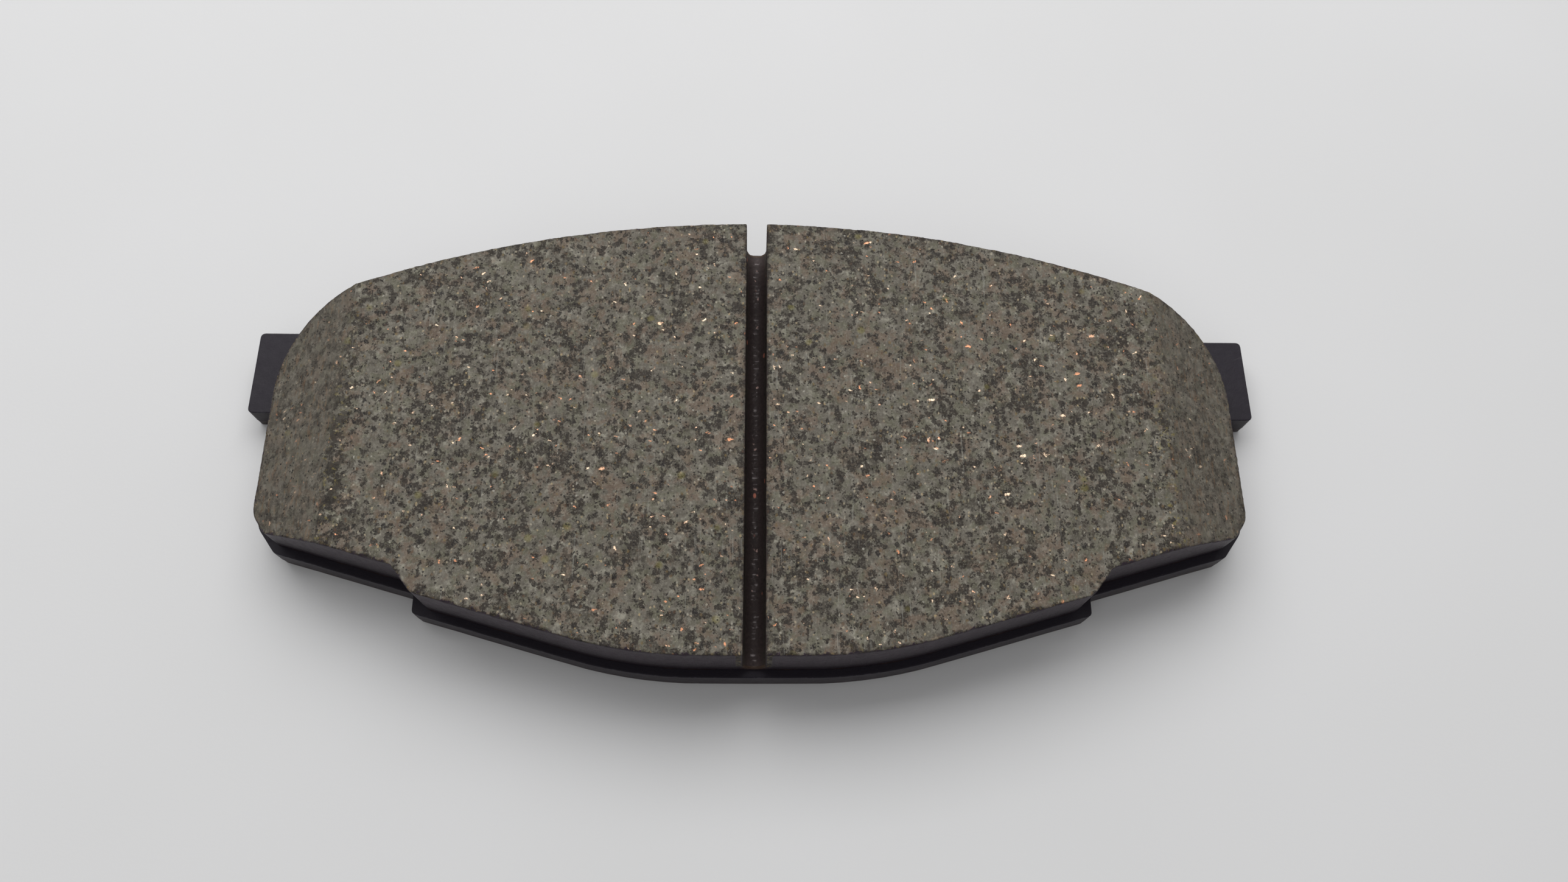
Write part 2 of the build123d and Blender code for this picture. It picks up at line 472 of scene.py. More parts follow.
def make_block(side, name, material, seed):
    """Friction block: drawn side walls, a chipped rim and a ground face with pores."""
    outline, out, s, length = traced(name, LAYER_TOP)
    top = lining_height(outline[:, 0])
    in_slot = smooth((SLOT_HALF + 0.3 - abs(outline[:, 0])) / 0.2)
    bare = smooth((SLOT_HALF + RAW_STRIP + 0.3 - abs(outline[:, 0])) / 0.3) * (1 - in_slot)
    inward, downward = chips(outline, out, s, length, seed)
    inward += 0.06 + 0.05 * along(s, length, 0.32, seed + 3)
    downward += (0.09 + 0.05 * along(s, length, 0.45, seed + 4)) * (1 - 0.6 * in_slot)
    space = room(outline)
    inward = eased(np.minimum(inward, 0.6 * space), 1.2)
    inner = np.minimum(inward + 0.22, space)
    shell = Shell(outline, out, "paint", "rim", "groove")

    def ring(inset, z, **masks):
        return shell.ring(inset, z, groove=in_slot, **masks)

    wall_top = top - downward
    rings = []
    for share in (0.0, 0.06, 0.2, 0.35, 0.5, 0.65, 0.8, 0.92, 1.0):
        z = LAYER_TOP + (wall_top - LAYER_TOP) * share
        inset = -draw_marks(s, length, z, seed + 5) * min(1.0, share * 8)
        # paint rubbed off near the top of the wall
        wear_and_glints = 0.25 * smooth((share - 0.9) / 0.1)
        rings.append(ring(inset, z, paint=1.0 - wear_and_glints - (0.7 - wear_and_glints) * bare, rim=bare))
    step = 0.5 + 0.2 * along(s, length, 0.5, seed + 8)
    rings.append(ring(inward * step * 0.8 + 0.03, top - downward * (1 - step), rim=1.0, paint=0.45))
    rings.append(ring(inward, top - 0.015, rim=0.8, paint=0.38))
    rings.append(ring(inner, top, rim=0.25, paint=0.25))
    shell.wall(rings)

    low, high = node_box(name)
    holes = pits(np.random.default_rng(seed + 9), low, high)

    def ground(x, y):
        depth = pit_depth(x, y, holes)
        waves = 0.008 * (1 + field(x, y, 1.1, seed + 10))
        waves += 0.006 * (1 + field(x, y / 8, 0.5, seed + 11))
        near_edge = smooth(1 - distance(np.column_stack([x, y]), [outline]) / RIM_REACH)
        crumbled = near_edge * smooth((-4 - y) / 8)
        waves += 0.025 * crumbled * (1 + field(x, y, 0.6, seed + 12))
        return lining_height(x) - depth - waves, {"rim": 0.8 * crumbled}

    xs = grid_lines(low[0], high[0], PITCH, side * CHAMFER_X)
    ys = grid_lines(low[1], high[1], PITCH)
    shell.fill([rings[-1]], xs, ys, ground, 0.7 * PITCH)
    shell.fill([rings[0]], *coarse_lines(low, high), level_face(LAYER_TOP), CLEARANCE, upward=False)
    finish_piece(f"{name}_moulded", shell, material, name)


# ---- Underlayer ----

def slot_shoulder():
    """Height of the slot's straight walls in the underlayer, above its round bottom."""
    points = node_points("underlayer")
    middle = points[(abs(points[:, 0]) < 0.6 * SLOT_HALF) & (points[:, 2] > FILM_TOP + LEVEL)]
    x, _, z = middle[np.argmin(middle[:, 2])]
    return LAYER_TOP - z - np.sqrt(SLOT_HALF**2 - x**2)


SLOT_SHOULDER = slot_shoulder()


def groove_height(x):
    """Top of the underlayer: level, with the round bottom of the slot along X = 0."""
    centre = LAYER_TOP - SLOT_SHOULDER
    bottom = centre - np.sqrt(np.maximum(SLOT_HALF**2 - np.asarray(x) ** 2, 0.0))
    return np.where(abs(x) < SLOT_HALF - LEVEL, bottom, LAYER_TOP)


def key_loops(radius_change=0.0):
    """Circles round the keys, anticlockwise, as arrays of points."""
    points = node_points("underlayer")
    lowest = points[points[:, 2] < KEY_BOTTOM + LEVEL, :2]
    groups = []
    for point in sorted(lowest.tolist()):
        if groups and point[0] - groups[-1][-1][0] < COARSE:
            groups[-1].append(point)
        else:
            groups.append([point])
    loops = []
    for group in groups:
        span = np.array(group)
        centre = (span.min(0) + span.max(0)) / 2
        radius = (span.max(0) - span.min(0))[0] / 2 + radius_change
        turn = np.linspace(0, 2 * pi, round(2 * pi * radius / PITCH), endpoint=False)
        loops.append(centre + radius * np.column_stack([np.cos(turn), np.sin(turn)]))
    return loops


def make_underlayer(material, seed):
    """Insulating layer with the bottom of the slot, and with keys through the plate's holes."""
    outline, out, s, length = traced("adhesive_film", FILM_TOP)
    for edge in (-SLOT_HALF, SLOT_HALF):
        for part in (outline[:, 1] > 0, outline[:, 1] < 0):
            nearest = np.argmin(np.where(part, abs(outline[:, 0] - edge), np.inf))
            outline[nearest, 0] = edge
    x = outline[:, 0]
    top = groove_height(x)
    in_slot = (abs(x) < SLOT_HALF - LEVEL).astype(float)
    lip = smooth((SLOT_HALF + 0.5 - abs(x)) / 0.4)
    ragged = lip * (0.06 + 0.10 * abs(along(s, length, 0.5, seed)))
    shell = Shell(outline, out, "paint", "rim", "groove")
    rings = []
    for share in (0.0, 0.12, 0.35, 0.6, 0.82, 1.0):
        z = FILM_TOP + (top - FILM_TOP) * share
        marks = -draw_marks(s, length, z, seed + 5) * (1 - in_slot)
        rings.append(shell.ring(marks + ragged * share**2, z, paint=1.0, rim=lip * share))
    rings.append(shell.ring(np.minimum(0.24 + ragged, room(outline)), top, rim=lip, groove=in_slot))
    shell.wall(rings)

    def upper_face(x, y):
        phase = 2 * pi * (y + 0.5 * field(y, 0 * y, 1.7, seed + 1)) / CUTTER_STEP
        within = smooth((SLOT_HALF - abs(x)) / 0.4)
        strength = 1.3 * np.maximum(field(y, 0 * y, 2.4, seed + 6), 0.0)
        scallop = 0.02 * within * strength * (1 + np.cos(phase))
        rough = 0.05 * within * abs(field(x, y, 0.4, seed + 2))
        return groove_height(x) - scallop - rough, {"groove": within}

    low, high = node_box("underlayer")
    turn = np.linspace(-1, 1, 15) * radians(88)
    in_groove = SLOT_HALF * np.sin(turn)
    beside = SLOT_HALF + np.array([0.0, 0.3])
    wide = np.arange(SLOT_HALF + 1.2, high[0] + COARSE, COARSE)
    xs = np.concatenate([-wide[::-1], -beside[::-1], in_groove, beside, wide])
    ys = grid_lines(low[1], high[1], PITCH)
    shell.fill([rings[-1]], xs, ys, upper_face, 0.45 * PITCH)

    openings, feet = [rings[0]], []
    for key_loop in key_loops(-KEY_PLAY):
        column = [shell.add(*key_loop.T, z) for z in (FILM_TOP, PLATE_TOP, 1.5, KEY_BOTTOM + 0.25)]
        outward = normals(key_loop)
        column.append(shell.add(*(key_loop - 0.12 * outward).T, KEY_BOTTOM + 0.04))
        column.append(shell.add(*(key_loop - 0.35 * outward).T, KEY_BOTTOM))
        for upper, lower in zip(column, column[1:]):
            shell.band(lower, upper)
        openings.append(column[0])
        feet.append(column[-1])

    def key_face(x, y):
        rough = 0.06 * abs(field(x, y, 0.9, seed + 3)) + 0.05 * abs(field(x, y, 0.35, seed + 4))
        return KEY_BOTTOM + rough, {"rim": 0.2}

    for foot in feet:
        loop = np.array([shell.points[i] for i in foot])
        xs = grid_lines(loop[:, 0].min(), loop[:, 0].max(), 1.5 * PITCH)
        ys = grid_lines(loop[:, 1].min(), loop[:, 1].max(), 1.5 * PITCH)
        shell.fill([foot], xs, ys, key_face, 0.6 * PITCH, upward=False)
    shell.fill(openings, *coarse_lines(low, high), level_face(FILM_TOP), CLEARANCE, upward=False)
    finish_piece("underlayer_moulded", shell, material, "underlayer")


# ---- Adhesive and plate ----

def make_film(material, seed):
    """Cured adhesive between plate and moulding, with a slightly uneven edge."""
    outline, out, s, length = traced("adhesive_film", FILM_TOP)
    bead = 0.05 + 0.05 * along(s, length, 1.7, seed)
    shell = Shell(outline, out)
    levels = ((PLATE_TOP, 0.0), (PLATE_TOP + 0.07, -0.02), (FILM_TOP - 0.06, 0.02), (FILM_TOP, 0.06))
    rings = [shell.ring(bead + tuck, z) for z, tuck in levels]
    shell.wall(rings)
    holes = [(shell.add(*loop.T, PLATE_TOP), shell.add(*loop.T, FILM_TOP)) for loop in key_loops()]
    for lower, upper in holes:
        shell.band(upper, lower)
    lines = coarse_lines(film_low, film_high)
    tops = [rings[-1]] + [upper for _, upper in holes]
    shell.fill(tops, *lines, level_face(FILM_TOP), CLEARANCE)
    bottoms = [rings[0]] + [lower for lower, _ in holes]
    shell.fill(bottoms, *lines, level_face(PLATE_TOP), CLEARANCE, upward=False)
    finish_piece("adhesive_film_cured", shell, material, "adhesive_film")


def make_plate(material, seed):
    """Stamped plate: torn zone next to the back, sheared wall, rolled upper edge, punched holes."""
    outline, out, s, length = traced("backing_plate", BREAK_HEIGHT)
    shell = Shell(outline, out, "torn", "edge")
    tear = BREAK_HEIGHT + 0.16 * along(s, length, 2.2, seed) + 0.08 * along(s, length, 0.6, seed + 1)
    rings = [shell.ring(BREAK_INSET + 0.10, 0.0, torn=0.6, edge=1.0)]
    rings.append(shell.ring(BREAK_INSET + 0.03, 0.05, torn=1.0, edge=1.0))
    for share in (0.25, 0.5, 0.75, 0.92):
        rough = 0.03 * along(s, length, 0.45, seed + 2 + round(share * 8))
        inset = BREAK_INSET * (1 - share**2.5) + 0.03 + rough * (1 - share)
        rings.append(shell.ring(inset, tear * share, torn=1.0))
    rings.append(shell.ring(0.02, tear, torn=0.5))
    shear_top = PLATE_TOP - ROLL
    for share in (0.04, 0.3, 0.55, 0.8, 1.0):
        z = tear + (shear_top - tear) * share
        rings.append(shell.ring(0.012 + 0.01 * along(s, length, 1.3, seed + 20) * (share < 1), z))
    for turn in (22.5, 45.0, 67.5, 90.0):
        inset = ROLL * (1 - cos(radians(turn)))
        rings.append(shell.ring(inset, shear_top + ROLL * sin(radians(turn)), edge=sin(radians(2 * turn))))
    rings.append(shell.ring(ROLL + 0.15, PLATE_TOP))
    shell.wall(rings)

    tops, bottoms = [rings[-1]], [rings[0]]
    for loop in key_loops():
        outward = normals(loop)
        column = [shell.add(*(loop + gap * outward).T, z) for gap, z in HOLE_PROFILE]
        shell.wall(column)
        tops.append(column[0])
        bottoms.append(column[-1])
    lines = coarse_lines(plate_low, plate_high)
    shell.fill(tops, *lines, level_face(PLATE_TOP), PLATE_CLEARANCE)
    shell.fill(bottoms, *lines, level_face(0.0), PLATE_CLEARANCE, upward=False)
    finish_piece("backing_plate_stamped", shell, material, "backing_plate")


# ---- Materials ----

def srgb(red, green, blue):
    """A colour given as 0 to 255 on screen, in the linear values that shaders take."""
    def linear(c):
        c /= 255
        return c / 12.92 if c <= 0.04045 else ((c + 0.055) / 1.055) ** 2.4
    return (linear(red), linear(green), linear(blue), 1.0)


class Graph:
    """A material under construction. Most calls add nodes and return an output socket."""

    def __init__(self, name):
        self.material = bpy.data.materials.new(name)
        self.material.use_nodes = True
        self.tree = self.material.node_tree
        self.shader = self.tree.nodes["Principled BSDF"]
        place = self.add("ShaderNodeTexCoord")
        to_mm = {0: place.outputs["Object"], "Scale": 1 / MM}
        self.position = self.add("ShaderNodeVectorMath", to_mm, operation="SCALE").outputs[0]

    def add(self, kind, inputs=(), **settings):
        """Adds a node of one kind, with its inputs by name or number, and its settings."""
        node = self.tree.nodes.new(kind)
        for name, value in settings.items():
            setattr(node, name, value)
        for name, value in dict(inputs).items():
            self.put(node.inputs[name], value)
        return node

    def put(self, socket, value):
        """Links an output or sets a plain value."""
        if isinstance(value, bpy.types.NodeSocket):
            self.tree.links.new(value, socket)
        else:
            socket.default_value = value

    def multiplied(self, vector, factors):
        """A vector, multiplied by a factor for each axis."""
        return self.add("ShaderNodeVectorMath", {0: vector, 1: factors}, operation="MULTIPLY").outputs[0]

    def stretched(self, x, y, z):
        """The position, scaled along each axis."""
        return self.multiplied(self.position, (x, y, z))

    def turned(self, angle, lengthwise, across):
        """The position, turned about the vertical and scaled along its turned axes."""
        inputs = {"Vector": self.position, "Angle": radians(angle)}
        node = self.add("ShaderNodeVectorRotate", inputs, rotation_type="Z_AXIS")
        return self.multiplied(node.outputs[0], (lengthwise, across, 1.0))

    def number(self, operation, *values):
        """Arithmetic on plain numbers."""
        return self.add("ShaderNodeMath", enumerate(values), operation=operation).outputs[0]

    def noise(self, size, detail=2.0, roughness=0.5, place=None):
        """Cloudy values round 0.5, with lumps about as wide as size."""
        place = place or self.position
        inputs = {"Vector": place, "Scale": 1 / size, "Detail": detail, "Roughness": roughness}
        return self.add("ShaderNodeTexNoise", inputs).outputs["Fac"]

    def grains(self, size, place=None):
        """Distance from scattered centres, in units of size, and two random values per grain."""
        place = place or self.position
        node = self.add("ShaderNodeTexVoronoi", {"Vector": place, "Scale": 1 / size})
        split = self.add("ShaderNodeSeparateColor", {0: node.outputs["Color"]})
        return node.outputs["Distance"], split.outputs[0], split.outputs[1]

    def step(self, value, low, high):
        """0 below low, 1 above high, smooth between. It falls if low is above high."""
        start, end = (1.0, 0.0) if low > high else (0.0, 1.0)
        inputs = {"Value": value, "From Min": min(low, high), "From Max": max(low, high),
                  "To Min": start, "To Max": end}
        return self.add("ShaderNodeMapRange", inputs, interpolation_type="SMOOTHSTEP").outputs["Result"]

    def ramp(self, value, *stops):
        """Colour read from a ramp of (value, colour) stops."""
        node = self.add("ShaderNodeValToRGB", {"Fac": value})
        elements = node.color_ramp.elements
        while len(elements) < len(stops):
            elements.new(1.0)
        for element, (place, colour) in zip(elements, stops):
            element.position = place
            element.color = colour
        return node.outputs["Color"]

    def scaled(self, value, low, high):
        """A value from 0 to 1, moved to lie between low and high."""
        return self.number("MULTIPLY_ADD", value, high - low, low)

    def product(self, *values):
        """All the values multiplied together."""
        result = values[0]
        for value in values[1:]:
            result = self.number("MULTIPLY", result, value)
        return result

    def mix(self, factor, first, second):
        """Colour that goes from first to second as factor goes from 0 to 1."""
        node = self.add("ShaderNodeMix", data_type="RGBA")
        share, low, high = (socket for socket in node.inputs if socket.enabled)
        self.put(share, factor)
        self.put(low, first)
        self.put(high, second)
        return next(socket for socket in node.outputs if socket.enabled)

    def tinted(self, below, above, strength, *masks):
        """Colour below, covered with colour above at the given strength where the masks are 1."""
        return self.mix(self.product(*masks, strength), below, above)

    def specks(self, size, place, wobble, torn, edge, rarity):
        """Mask and tint of ragged specks: the grains of one size whose random value is high."""
        gap, pick, tint = self.grains(size, place)
        ragged = self.number("ADD", gap, self.scaled(wobble, -torn, torn))
        return self.product(self.step(ragged, *edge), self.step(pick, rarity, rarity + 0.03)), tint

    def furrows(self):
        """Upright furrows that the mould's wall leaves."""
        return self.noise(0.42, 2.0, 0.55, self.stretched(1.0, 1.0, 0.06))

    def mask(self, name):
        """A surface mask stored in the mesh."""
        return self.add("ShaderNodeAttribute", attribute_name=name).outputs["Fac"]

    def axis(self, index):
        """One coordinate of the position, in millimetres."""
        return self.add("ShaderNodeSeparateXYZ", {0: self.position}).outputs[index]

    def bump(self, height, depth, base=None):
        """Normal of a relief whose height runs from 0 to 1 over the given depth."""
        inputs = {"Strength": 1.0, "Distance": depth * MM, "Height": height}
        if base is not None:
            inputs["Normal"] = base
        return self.add("ShaderNodeBump", inputs).outputs["Normal"]

    def finish(self, colour, roughness, normal, metallic=None, specular=0.5):
        """Sets the shader's inputs and returns the material."""
        self.put(self.shader.inputs["Base Color"], colour)
        self.put(self.shader.inputs["Roughness"], roughness)
        self.put(self.shader.inputs["Normal"], normal)
        self.shader.inputs["Specular IOR Level"].default_value = specular
        if metallic is not None:
            self.put(self.shader.inputs["Metallic"], metallic)
        return self.material


def copper_flecks(g, wobble):
    """Mask and colour of the copper chips: torn slivers that lie in several directions, many fine
    ones and fewer large ones, in loose groups, some painted nearly white as glints."""
    total, shade = 0.0, srgb(222, 155, 116)
    groups = g.step(g.noise(4.5, 2.0), 0.30, 0.62)
    sizes = (  # spacing, a chip's outer and inner edge, rarity, direction
        (0.75, 0.21, 0.08, 0.945, 20),
        (1.1, 0.18, 0.08, 0.950, -35),
        (1.3, 0.17, 0.08, 0.955, 75),
        (2.3, 0.14, 0.08, 0.92, -10),
    )
    for spacing, outer, inner, rarity, direction in sizes:
        gap, pick, tint = g.grains(spacing, g.turned(direction, 0.62, 1.3))
        ragged = g.number("ADD", gap, g.scaled(wobble, -0.5 / spacing, 0.5 / spacing))
        common = g.number("ADD", pick, g.scaled(groups, -0.05, 0.05))
        chip = g.product(g.step(ragged, outer, inner), g.step(common, rarity, rarity + 0.02))
        # painted highlight: some chips are coloured nearly white, standing in for their glints
        shade = g.tinted(shade, srgb(255, 230, 198), g.step(tint, 0.32, 0.78), chip)
        total = g.number("MAXIMUM", total, chip)
    return total, shade


def ground_face_colour(g, wobble):
    """Colour of the grey-green binder with graphite, pale grains and brownish patches, and the
    mask of its darkest grains."""
    flat = g.stretched(1.0, 0.85, 1.0)
    cloud = g.number("ADD", g.noise(1.1, 5.0, 0.66, flat), g.scaled(g.noise(8.0, 2.0), -0.11, 0.11))
    colour = g.ramp(cloud, (0.34, srgb(82, 77, 68)), (0.46, srgb(100, 95, 85)), (0.56, srgb(110, 105, 95)),
                    (0.70, srgb(146, 142, 129)))
    olive = g.step(g.noise(1.9, 4.0, 0.62), 0.47, 0.60)
    colour = g.tinted(colour, srgb(95, 96, 72), 0.34, olive)
    warm = g.step(g.noise(2.6, 4.0, 0.65, g.stretched(1.0, 1.0, 2.0)), 0.49, 0.61)
    colour = g.tinted(colour, srgb(112, 89, 73), 0.46, warm)

    crowd = g.scaled(g.noise(8.0, 3.0, 0.6, flat), -0.16, 0.16)
    depth = g.step(wobble, 0.30, 0.70)
    large = g.step(g.number("ADD", g.noise(2.3, 6.0, 0.66, flat), crowd), 0.565, 0.595)
    colour = g.tinted(colour, g.mix(depth, srgb(28, 23, 20), srgb(64, 56, 45)), 0.64, large)
    small = g.step(g.number("ADD", g.noise(1.05, 5.0, 0.62, flat), crowd), 0.545, 0.575)
    colour = g.tinted(colour, g.mix(depth, srgb(21, 16, 15), srgb(55, 47, 38)), 0.88, small)
    graphite, tint = g.specks(1.0, flat, wobble, 0.8, (0.44, 0.30), 0.70)
    colour = g.tinted(colour, g.mix(tint, srgb(28, 24, 23), srgb(50, 43, 35)), 0.92, graphite)
    dark = g.number("MAXIMUM", graphite, small)

    fine = g.noise(0.3, 4.0, 0.7, flat)
    colour = g.tinted(colour, srgb(156, 151, 138), 0.36, g.step(fine, 0.52, 0.66))
    colour = g.tinted(colour, srgb(38, 34, 31), 0.34, g.step(fine, 0.46, 0.34))
    mineral, tint = g.specks(0.5, g.stretched(1.0, 0.8, 1.0), wobble, 0.5, (0.38, 0.20), 0.87)
    colour = g.tinted(colour, g.mix(tint, srgb(172, 169, 158), srgb(176, 154, 114)), 0.66, mineral)
    fibre, tint = g.specks(0.6, g.stretched(1.0, 0.8, 1.2), wobble, 0.6, (0.40, 0.22), 0.86)
    colour = g.tinted(colour, g.mix(tint, srgb(122, 104, 66), srgb(84, 58, 44)), 0.6, fibre)
    gap, pick, _ = g.grains(2.6)
    yellow = g.product(g.step(gap, 0.3, 0.12), g.step(pick, 0.93, 0.95))
    return g.tinted(colour, srgb(128, 120, 60), 0.4, yellow), dark


def chamfer_wear(g, colour):
    """The ground face's colour, smeared and rusty on the end chamfers and torn along the seams
    where they begin, and the mask of the chamfers."""
    from_middle = g.number("ADD", g.number("ABSOLUTE", g.axis(0)), g.scaled(g.noise(2.2, 3.0), -1.3, 1.3))
    ends = g.step(from_middle, CHAMFER_X - 1.2, CHAMFER_X + 2.0)
    smear = g.step(g.noise(0.9, 6.0, 0.72, g.stretched(1.0, 0.4, 1.0)), 0.34, 0.62)
    colour = g.tinted(colour, g.mix(smear, srgb(46, 41, 34), srgb(102, 96, 86)), 0.58, ends)
    low_half = g.step(g.axis(1), 14.0, -4.0)
    seam = g.product(g.step(from_middle, CHAMFER_X - 2.0, CHAMFER_X - 1.2),
                     g.step(from_middle, CHAMFER_X + 1.4, CHAMFER_X + 0.6), g.scaled(low_half, 0.25, 1.0))
    left = g.step(g.axis(0), 1.0, -1.0)
    torn_seam = g.product(seam, g.step(g.noise(1.3, 4.0, 0.62), 0.48, 0.54), g.scaled(left, 0.35, 1.0))
    colour = g.tinted(colour, srgb(36, 30, 24), 0.8, torn_seam)
    dusty_seam = g.product(seam, g.step(g.noise(0.8, 4.0, 0.66), 0.56, 0.64))
    colour = g.tinted(colour, srgb(134, 122, 72), 0.6, dusty_seam)
    rusty = g.step(g.noise(0.9, 3.0, 0.6, g.stretched(1.6, 0.35, 1.0)), 0.56, 0.68)
    return g.tinted(colour, srgb(124, 92, 62), 0.3, ends, rusty), ends


def painted_wall(g, groove, furrow):
    """Black paint with drawn furrows, with painted shade at its foot, and the bare walls of the slot."""
    black = g.mix(furrow, srgb(36, 25, 35), srgb(62, 47, 59))
    black = g.tinted(black, srgb(43, 33, 42), 0.4, g.noise(5.0, 3.0))
    # painted shade: the paint darkens towards the foot of the wall, standing in for the shade from the
    # ledge and the crease below
    foot = g.step(g.axis(2), LAYER_TOP + 3.5, LAYER_TOP)
    black = g.tinted(black, srgb(22, 14, 22), 0.5, foot)
    return g.mix(groove, black, g.mix(g.noise(0.5, 3.0), srgb(30, 21, 20), srgb(62, 48, 44)))


def lining_material():
    """Ground friction composite with graphite, fibres and copper, and black paint on its sides."""
    g = Graph("friction_composite")
    wobble = g.noise(0.3, 4.0, 0.7)
    colour, graphite = ground_face_colour(g, wobble)
    streaks = g.noise(0.32, 3.0, 0.6, g.stretched(1.0, 0.045, 1.0))
    broad_streaks = g.noise(2.6, 2.0, 0.5, g.stretched(1.0, 0.04, 1.0))
    scratch = g.product(g.step(streaks, 0.58, 0.72), g.step(broad_streaks, 0.46, 0.62))
    colour = g.tinted(colour, srgb(156, 155, 146), 0.38, scratch)
    colour, ends = chamfer_wear(g, colour)
    # painted shade: the pores' dark colour stands in for the shade inside their small dents
    shaded_pore, tint = g.specks(0.45, None, wobble, 0.6, (0.36, 0.20), 0.74)
    colour = g.tinted(colour, g.mix(tint, srgb(14, 12, 12), srgb(44, 40, 36)), 0.88, shaded_pore)

    metal, shade = copper_flecks(g, wobble)
    metal = g.product(metal, g.scaled(ends, 1.0, 0.45))
    colour = g.mix(metal, colour, shade)

    rim = g.mask("rim")
    # mostly dark along the rim: partly the bare, chipped edge, partly painted shade along the top of the
    # side wall
    broken = g.step(g.noise(0.7, 4.0, 0.68), 0.52, 0.66)
    raw = g.mix(broken, srgb(28, 20, 19), srgb(122, 106, 74))
    patchy = g.scaled(g.step(g.noise(1.8, 3.0, 0.6), 0.40, 0.58), 0.35, 1.0)
    colour = g.tinted(colour, raw, 0.85, rim, patchy)
    groove = g.mask("groove")
    colour = g.tinted(colour, srgb(40, 34, 30), g.scaled(rim, 0.0, 0.45), groove)

    furrow = g.furrows()
    edge_noise = g.scaled(g.noise(0.6, 4.0, 0.65), -0.7, 0.7)
    painted = g.step(g.number("ADD", g.mask("paint"), edge_noise), 0.42, 0.54)
    colour = g.mix(painted, colour, painted_wall(g, groove, furrow))
    metal = g.product(metal, g.scaled(painted, 1.0, 0.0))

    relief = g.number("SUBTRACT", 1.0, g.product(graphite, 0.6))
    relief = g.number("SUBTRACT", relief, g.product(shaded_pore, 0.8))
    ground = g.bump(relief, 0.04)
    ground = g.bump(streaks, 0.02, ground)
    ground = g.bump(g.noise(0.16, 3.0, 0.6), 0.03, ground)
    normal = g.bump(g.product(painted, furrow), 0.03, ground)

    rough = g.scaled(g.noise(0.9, 3.0), 0.62, 0.85)
    rough = g.number("SUBTRACT", rough, g.product(metal, 0.35))
    rough = g.number("SUBTRACT", rough, g.product(painted, g.number("SUBTRACT", 1.0, groove), 0.26))
    return g.finish(colour, rough, normal, g.product(metal, 0.5), 0.36)


def underlayer_material():
    """Dark insulating mix: painted on its sides, darker there as painted shade, with painted highlights on
    the cutter's marks in the slot, raw on the keys.
    """
    g = Graph("underlayer_mix")
    groove, rim = g.mask("groove"), g.mask("rim")
    raw = g.mix(g.noise(0.8, 4.0, 0.6), srgb(48, 44, 42), srgb(92, 84, 76))
    gap, pick, _ = g.grains(0.7)
    grain = g.product(g.step(gap, 0.4, 0.25), g.step(pick, 0.6, 0.65))
    raw = g.tinted(raw, srgb(28, 26, 26), 0.7, grain)
    cut = g.mix(g.noise(0.5, 4.0, 0.65), srgb(38, 30, 30), srgb(86, 73, 71))
    waver = g.scaled(g.noise(1.6, 3.0, 0.6, g.stretched(0.0, 1.0, 0.0)), -6.0, 6.0)
    turn = g.number("MULTIPLY_ADD", g.axis(1), 2 * pi / CUTTER_STEP, waver)
    beat = g.step(g.number("SINE", turn), 0.35, 0.95)
    aside = g.number("ADD", g.axis(0), g.scaled(g.noise(0.7), -0.7, 0.7))
    middle = g.step(g.number("ABSOLUTE", aside), 0.5, 0.12)
    broken = g.step(g.noise(2.8, 4.0, 0.65), 0.43, 0.56)
    broken = g.product(broken, g.step(g.noise(0.8, 3.0, 0.6), 0.40, 0.58))
    # painted highlights: the light dots along the middle of the slot and the pink glints below stand in
    # for light caught by the cutter's marks
    wear_and_glints = g.product(groove, middle, g.scaled(beat, 0.15, 1.0), broken)
    cut = g.tinted(cut, srgb(176, 166, 166), 0.9, wear_and_glints)
    glint = g.product(groove, middle, g.step(g.noise(1.6, 2.0), 0.64, 0.68))
    cut = g.mix(glint, cut, srgb(224, 186, 176))
    gap, pick, _ = g.grains(1.6, g.stretched(1.2, 0.7, 1.0))
    copper = g.product(g.step(gap, 0.22, 0.12), g.step(pick, 0.86, 0.88))
    furrow = g.furrows()
    # painted shade: this side paint is darker than the block's, standing in for the shade at the foot of
    # the lining's side
    black = g.mix(furrow, srgb(24, 16, 23), srgb(40, 29, 39))
    painted = g.step(g.number("ADD", g.mask("paint"), g.scaled(g.noise(0.45, 3.0), -0.3, 0.3)), 0.4, 0.6)
    colour = g.mix(painted, g.mix(groove, raw, cut), black)
    colour = g.tinted(colour, srgb(84, 64, 44), 0.55, rim)
    metal = g.product(copper, g.scaled(painted, 1.0, 0.0))
    colour = g.mix(metal, colour, srgb(214, 140, 120))
    normal = g.bump(g.noise(0.2, 3.0, 0.6), 0.03)
    normal = g.bump(g.product(painted, furrow), 0.03, normal)
    rough = g.number("SUBTRACT", g.scaled(g.noise(0.7, 3.0), 0.6, 0.85), g.product(groove, 0.08))
    rough = g.number("SUBTRACT", rough, g.product(painted, 0.22))
    return g.finish(colour, rough, normal, g.product(metal, 0.6), 0.30)


def adhesive_material():
    """Dark brown cured resin."""
    g = Graph("cured_adhesive")
    colour = g.mix(g.noise(1.2, 3.0), srgb(30, 20, 16), srgb(64, 42, 26))
    return g.finish(colour, g.scaled(g.noise(0.8), 0.25, 0.45), g.bump(g.noise(0.4, 3.0), 0.03))


